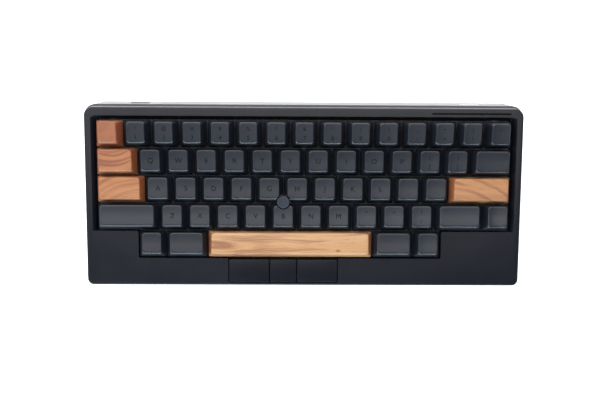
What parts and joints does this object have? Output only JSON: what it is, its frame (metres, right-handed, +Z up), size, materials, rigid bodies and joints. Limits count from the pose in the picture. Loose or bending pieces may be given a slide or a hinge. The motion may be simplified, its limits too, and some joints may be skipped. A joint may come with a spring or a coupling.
{
  "type": "mechanical keyboard",
  "caption": "Compact mechanical keyboard with dark keycaps, wooden modifier and space keys, a pointing stick, click buttons in front of the space bar, and fold-out feet.",
  "frame": {"origin": "middle of the footprint, on the surface that the rubber feet stand on", "axes": "+X to the typist's right, +Y away from the typist to the rear, +Z up"},
  "size_m": [0.3072, 0.1316, 0.0408],
  "materials": {
    "case_plastic": "fine matte grain",
    "cap_plastic": "fine matte grain",
    "cap_wood": "oiled satin",
    "plate_steel": "brushed",
    "plate_black": "black powder coat",
    "board": "satin solder mask",
    "foam": "matte",
    "switch_plastic": "satin",
    "spring_steel": "drawn wire",
    "rubber": "matte",
    "cell_wrap": "printed sleeve, satin",
    "contact_metal": "nickel plated",
    "screw_steel": "blackened",
    "socket_metal": "satin plated",
    "button_plastic": "satin",
    "smoked_window": "smoked"
  },
  "bodies": {
    "case": {"top_case": "case_plastic", "bottom_case": "case_plastic", "mounting_plate": "plate_black", "circuit_board": "board", "damper_sheet": "foam", "switch_housings": "switch_plastic", "switch_springs": "spring_steel", "stabiliser_housings": "switch_plastic", "battery_cells": "cell_wrap", "battery_contacts": "contact_metal", "rubber_feet": "rubber", "case_screws": "screw_steel", "usb_socket": "socket_metal", "indicator_window": "smoked_window"},
    "key_escape": {"key_escape": "cap_wood"},
    "key_tab": {"key_tab": "cap_wood"},
    "key_control": {"key_control": "cap_wood"},
    "key_return": {"key_return": "cap_wood"},
    "key_space": {"key_space": "cap_wood"},
    "key_shift_left": {"key_shift_left": "cap_plastic"},
    "keys_number_row": {"keys_number_row": "cap_plastic"},
    "keys_punctuation": {"keys_punctuation": "cap_plastic"},
    "keys_command": {"keys_command": "cap_plastic"},
    "key_q": {"key_q": "cap_plastic"},
    "key_w": {"key_w": "cap_plastic"},
    "key_e": {"key_e": "cap_plastic"},
    "key_r": {"key_r": "cap_plastic"},
    "key_t": {"key_t": "cap_plastic"},
    "key_y": {"key_y": "cap_plastic"},
    "key_u": {"key_u": "cap_plastic"},
    "key_i": {"key_i": "cap_plastic"},
    "key_o": {"key_o": "cap_plastic"},
    "key_p": {"key_p": "cap_plastic"},
    "key_a": {"key_a": "cap_plastic"},
    "key_s": {"key_s": "cap_plastic"},
    "key_d": {"key_d": "cap_plastic"},
    "key_f": {"key_f": "cap_plastic"},
    "key_g": {"key_g": "cap_plastic"},
    "key_h": {"key_h": "cap_plastic"},
    "key_j": {"key_j": "cap_plastic"},
    "key_k": {"key_k": "cap_plastic"},
    "key_l": {"key_l": "cap_plastic"},
    "key_z": {"key_z": "cap_plastic"},
    "key_x": {"key_x": "cap_plastic"},
    "key_c": {"key_c": "cap_plastic"},
    "key_v": {"key_v": "cap_plastic"},
    "key_b": {"key_b": "cap_plastic"},
    "key_n": {"key_n": "cap_plastic"},
    "key_m": {"key_m": "cap_plastic"},
    "space_stabiliser_wire": {"space_stabiliser_wire": "spring_steel"},
    "pointer_flexure": {"pointer_flexure": "plate_steel"},
    "pointer_stick": {"pointer_post": "plate_steel", "pointer_cap": "rubber"},
    "click_button_left": {"click_button_left": "case_plastic"},
    "click_button_middle": {"click_button_middle": "case_plastic"},
    "click_button_right": {"click_button_right": "case_plastic"},
    "power_button": {"power_button": "button_plastic"},
    "battery_door": {"battery_door": "case_plastic"},
    "tilt_foot_left": {"tilt_foot_left": "case_plastic"},
    "tilt_foot_right": {"tilt_foot_right": "case_plastic"}
  },
  "joints": [
    {"name": "key_escape_press", "type": "slide", "parent": "case", "child": "key_escape", "axis": [0, 0.1115, -0.9938], "range_m": [0, 0.0036], "stiffness_N_per_m": 60, "springref_m": -0.006, "deforming": ["switch_springs"]},
    {"name": "key_tab_press", "type": "slide", "parent": "case", "child": "key_tab", "axis": [0, 0.1115, -0.9938], "range_m": [0, 0.0036], "stiffness_N_per_m": 60, "springref_m": -0.006, "deforming": ["switch_springs"]},
    {"name": "key_control_press", "type": "slide", "parent": "case", "child": "key_control", "axis": [0, 0.1115, -0.9938], "range_m": [0, 0.0036], "stiffness_N_per_m": 60, "springref_m": -0.006, "deforming": ["switch_springs"]},
    {"name": "key_return_press", "type": "slide", "parent": "case", "child": "key_return", "axis": [0, 0.1115, -0.9938], "range_m": [0, 0.0036], "stiffness_N_per_m": 60, "springref_m": -0.006, "deforming": ["switch_springs"]},
    {"name": "key_space_press", "type": "slide", "parent": "case", "child": "key_space", "axis": [0, 0.1115, -0.9938], "range_m": [0, 0.0036], "stiffness_N_per_m": 60, "springref_m": -0.006, "deforming": ["switch_springs"]},
    {"name": "key_shift_left_press", "type": "slide", "parent": "case", "child": "key_shift_left", "axis": [0, 0.1115, -0.9938], "range_m": [0, 0.0036], "stiffness_N_per_m": 60, "springref_m": -0.006, "deforming": ["switch_springs"]},
    {"name": "keys_number_row_press", "type": "slide", "parent": "case", "child": "keys_number_row", "axis": [0, 0.1115, -0.9938], "range_m": [0, 0.0036], "stiffness_N_per_m": 840, "springref_m": -0.006, "deforming": ["switch_springs"]},
    {"name": "keys_punctuation_press", "type": "slide", "parent": "case", "child": "keys_punctuation", "axis": [0, 0.1115, -0.9938], "range_m": [0, 0.0036], "stiffness_N_per_m": 420, "springref_m": -0.006, "deforming": ["switch_springs"]},
    {"name": "keys_command_press", "type": "slide", "parent": "case", "child": "keys_command", "axis": [0, 0.1115, -0.9938], "range_m": [0, 0.0036], "stiffness_N_per_m": 420, "springref_m": -0.006, "deforming": ["switch_springs"]},
    {"name": "key_q_press", "type": "slide", "parent": "case", "child": "key_q", "axis": [0, 0.1115, -0.9938], "range_m": [0, 0.0036], "stiffness_N_per_m": 60, "springref_m": -0.006, "deforming": ["switch_springs"]},
    {"name": "key_w_press", "type": "slide", "parent": "case", "child": "key_w", "axis": [0, 0.1115, -0.9938], "range_m": [0, 0.0036], "stiffness_N_per_m": 60, "springref_m": -0.006, "deforming": ["switch_springs"]},
    {"name": "key_e_press", "type": "slide", "parent": "case", "child": "key_e", "axis": [0, 0.1115, -0.9938], "range_m": [0, 0.0036], "stiffness_N_per_m": 60, "springref_m": -0.006, "deforming": ["switch_springs"]},
    {"name": "key_r_press", "type": "slide", "parent": "case", "child": "key_r", "axis": [0, 0.1115, -0.9938], "range_m": [0, 0.0036], "stiffness_N_per_m": 60, "springref_m": -0.006, "deforming": ["switch_springs"]},
    {"name": "key_t_press", "type": "slide", "parent": "case", "child": "key_t", "axis": [0, 0.1115, -0.9938], "range_m": [0, 0.0036], "stiffness_N_per_m": 60, "springref_m": -0.006, "deforming": ["switch_springs"]},
    {"name": "key_y_press", "type": "slide", "parent": "case", "child": "key_y", "axis": [0, 0.1115, -0.9938], "range_m": [0, 0.0036], "stiffness_N_per_m": 60, "springref_m": -0.006, "deforming": ["switch_springs"]},
    {"name": "key_u_press", "type": "slide", "parent": "case", "child": "key_u", "axis": [0, 0.1115, -0.9938], "range_m": [0, 0.0036], "stiffness_N_per_m": 60, "springref_m": -0.006, "deforming": ["switch_springs"]},
    {"name": "key_i_press", "type": "slide", "parent": "case", "child": "key_i", "axis": [0, 0.1115, -0.9938], "range_m": [0, 0.0036], "stiffness_N_per_m": 60, "springref_m": -0.006, "deforming": ["switch_springs"]},
    {"name": "key_o_press", "type": "slide", "parent": "case", "child": "key_o", "axis": [0, 0.1115, -0.9938], "range_m": [0, 0.0036], "stiffness_N_per_m": 60, "springref_m": -0.006, "deforming": ["switch_springs"]},
    {"name": "key_p_press", "type": "slide", "parent": "case", "child": "key_p", "axis": [0, 0.1115, -0.9938], "range_m": [0, 0.0036], "stiffness_N_per_m": 60, "springref_m": -0.006, "deforming": ["switch_springs"]},
    {"name": "key_a_press", "type": "slide", "parent": "case", "child": "key_a", "axis": [0, 0.1115, -0.9938], "range_m": [0, 0.0036], "stiffness_N_per_m": 60, "springref_m": -0.006, "deforming": ["switch_springs"]},
    {"name": "key_s_press", "type": "slide", "parent": "case", "child": "key_s", "axis": [0, 0.1115, -0.9938], "range_m": [0, 0.0036], "stiffness_N_per_m": 60, "springref_m": -0.006, "deforming": ["switch_springs"]},
    {"name": "key_d_press", "type": "slide", "parent": "case", "child": "key_d", "axis": [0, 0.1115, -0.9938], "range_m": [0, 0.0036], "stiffness_N_per_m": 60, "springref_m": -0.006, "deforming": ["switch_springs"]},
    {"name": "key_f_press", "type": "slide", "parent": "case", "child": "key_f", "axis": [0, 0.1115, -0.9938], "range_m": [0, 0.0036], "stiffness_N_per_m": 60, "springref_m": -0.006, "deforming": ["switch_springs"]},
    {"name": "key_g_press", "type": "slide", "parent": "case", "child": "key_g", "axis": [0, 0.1115, -0.9938], "range_m": [0, 0.0036], "stiffness_N_per_m": 60, "springref_m": -0.006, "deforming": ["switch_springs"]},
    {"name": "key_h_press", "type": "slide", "parent": "case", "child": "key_h", "axis": [0, 0.1115, -0.9938], "range_m": [0, 0.0036], "stiffness_N_per_m": 60, "springref_m": -0.006, "deforming": ["switch_springs"]},
    {"name": "key_j_press", "type": "slide", "parent": "case", "child": "key_j", "axis": [0, 0.1115, -0.9938], "range_m": [0, 0.0036], "stiffness_N_per_m": 60, "springref_m": -0.006, "deforming": ["switch_springs"]},
    {"name": "key_k_press", "type": "slide", "parent": "case", "child": "key_k", "axis": [0, 0.1115, -0.9938], "range_m": [0, 0.0036], "stiffness_N_per_m": 60, "springref_m": -0.006, "deforming": ["switch_springs"]},
    {"name": "key_l_press", "type": "slide", "parent": "case", "child": "key_l", "axis": [0, 0.1115, -0.9938], "range_m": [0, 0.0036], "stiffness_N_per_m": 60, "springref_m": -0.006, "deforming": ["switch_springs"]},
    {"name": "key_z_press", "type": "slide", "parent": "case", "child": "key_z", "axis": [0, 0.1115, -0.9938], "range_m": [0, 0.0036], "stiffness_N_per_m": 60, "springref_m": -0.006, "deforming": ["switch_springs"]},
    {"name": "key_x_press", "type": "slide", "parent": "case", "child": "key_x", "axis": [0, 0.1115, -0.9938], "range_m": [0, 0.0036], "stiffness_N_per_m": 60, "springref_m": -0.006, "deforming": ["switch_springs"]},
    {"name": "key_c_press", "type": "slide", "parent": "case", "child": "key_c", "axis": [0, 0.1115, -0.9938], "range_m": [0, 0.0036], "stiffness_N_per_m": 60, "springref_m": -0.006, "deforming": ["switch_springs"]},
    {"name": "key_v_press", "type": "slide", "parent": "case", "child": "key_v", "axis": [0, 0.1115, -0.9938], "range_m": [0, 0.0036], "stiffness_N_per_m": 60, "springref_m": -0.006, "deforming": ["switch_springs"]},
    {"name": "key_b_press", "type": "slide", "parent": "case", "child": "key_b", "axis": [0, 0.1115, -0.9938], "range_m": [0, 0.0036], "stiffness_N_per_m": 60, "springref_m": -0.006, "deforming": ["switch_springs"]},
    {"name": "key_n_press", "type": "slide", "parent": "case", "child": "key_n", "axis": [0, 0.1115, -0.9938], "range_m": [0, 0.0036], "stiffness_N_per_m": 60, "springref_m": -0.006, "deforming": ["switch_springs"]},
    {"name": "key_m_press", "type": "slide", "parent": "case", "child": "key_m", "axis": [0, 0.1115, -0.9938], "range_m": [0, 0.0036], "stiffness_N_per_m": 60, "springref_m": -0.006, "deforming": ["switch_springs"]},
    {"name": "space_wire_turn", "type": "hinge", "parent": "case", "child": "space_stabiliser_wire", "pos_m": [0, -0.04274, 0.01208], "axis": [-1, 0, 0], "range_deg": [0, 25.48]},
    {"name": "pointer_push_forward", "type": "hinge", "parent": "case", "child": "pointer_flexure", "pos_m": [-0.01429, -0.00402, 0.00838], "axis": [1, 0, 0], "range_deg": [-1.2, 1.2], "stiffness_Nm_per_rad": 2},
    {"name": "pointer_push_sideways", "type": "hinge", "parent": "pointer_flexure", "child": "pointer_stick", "pos_m": [-0.01429, -0.00407, 0.00887], "axis": [0, 0.9938, 0.1115], "range_deg": [-1.2, 1.2], "stiffness_Nm_per_rad": 2},
    {"name": "click_button_left_press", "type": "hinge", "parent": "case", "child": "click_button_left", "pos_m": [-0.0381, -0.06018, 0.01566], "axis": [-1, 0, 0], "range_deg": [0, 1.5], "stiffness_Nm_per_rad": 0.4, "springref_deg": -1.15},
    {"name": "click_button_middle_press", "type": "hinge", "parent": "case", "child": "click_button_middle", "pos_m": [-0.01429, -0.06018, 0.01566], "axis": [-1, 0, 0], "range_deg": [0, 1.5], "stiffness_Nm_per_rad": 0.4, "springref_deg": -1.15},
    {"name": "click_button_right_press", "type": "hinge", "parent": "case", "child": "click_button_right", "pos_m": [0.00953, -0.06018, 0.01566], "axis": [-1, 0, 0], "range_deg": [0, 1.5], "stiffness_Nm_per_rad": 0.4, "springref_deg": -1.15},
    {"name": "power_button_press", "type": "slide", "parent": "case", "child": "power_button", "axis": [0, -0.9766, -0.2152], "range_m": [0, 0.0005], "stiffness_N_per_m": 600, "springref_m": -0.001},
    {"name": "battery_door_open", "type": "hinge", "parent": "case", "child": "battery_door", "pos_m": [0, 0.04497, 0.0029], "axis": [-1, 0, 0], "range_deg": [0, 80]},
    {"name": "tilt_foot_left_unfold", "type": "hinge", "parent": "case", "child": "tilt_foot_left", "pos_m": [-0.126, 0.03897, 0.0043], "axis": [1, 0, 0], "range_deg": [0, 100]},
    {"name": "tilt_foot_right_unfold", "type": "hinge", "parent": "case", "child": "tilt_foot_right", "pos_m": [0.126, 0.03897, 0.0043], "axis": [1, 0, 0], "range_deg": [0, 100]}
  ],
  "couplings": [
    {"joint": "space_wire_turn", "follows": "key_space_press", "rad_per_m": 123.48}
  ]
}
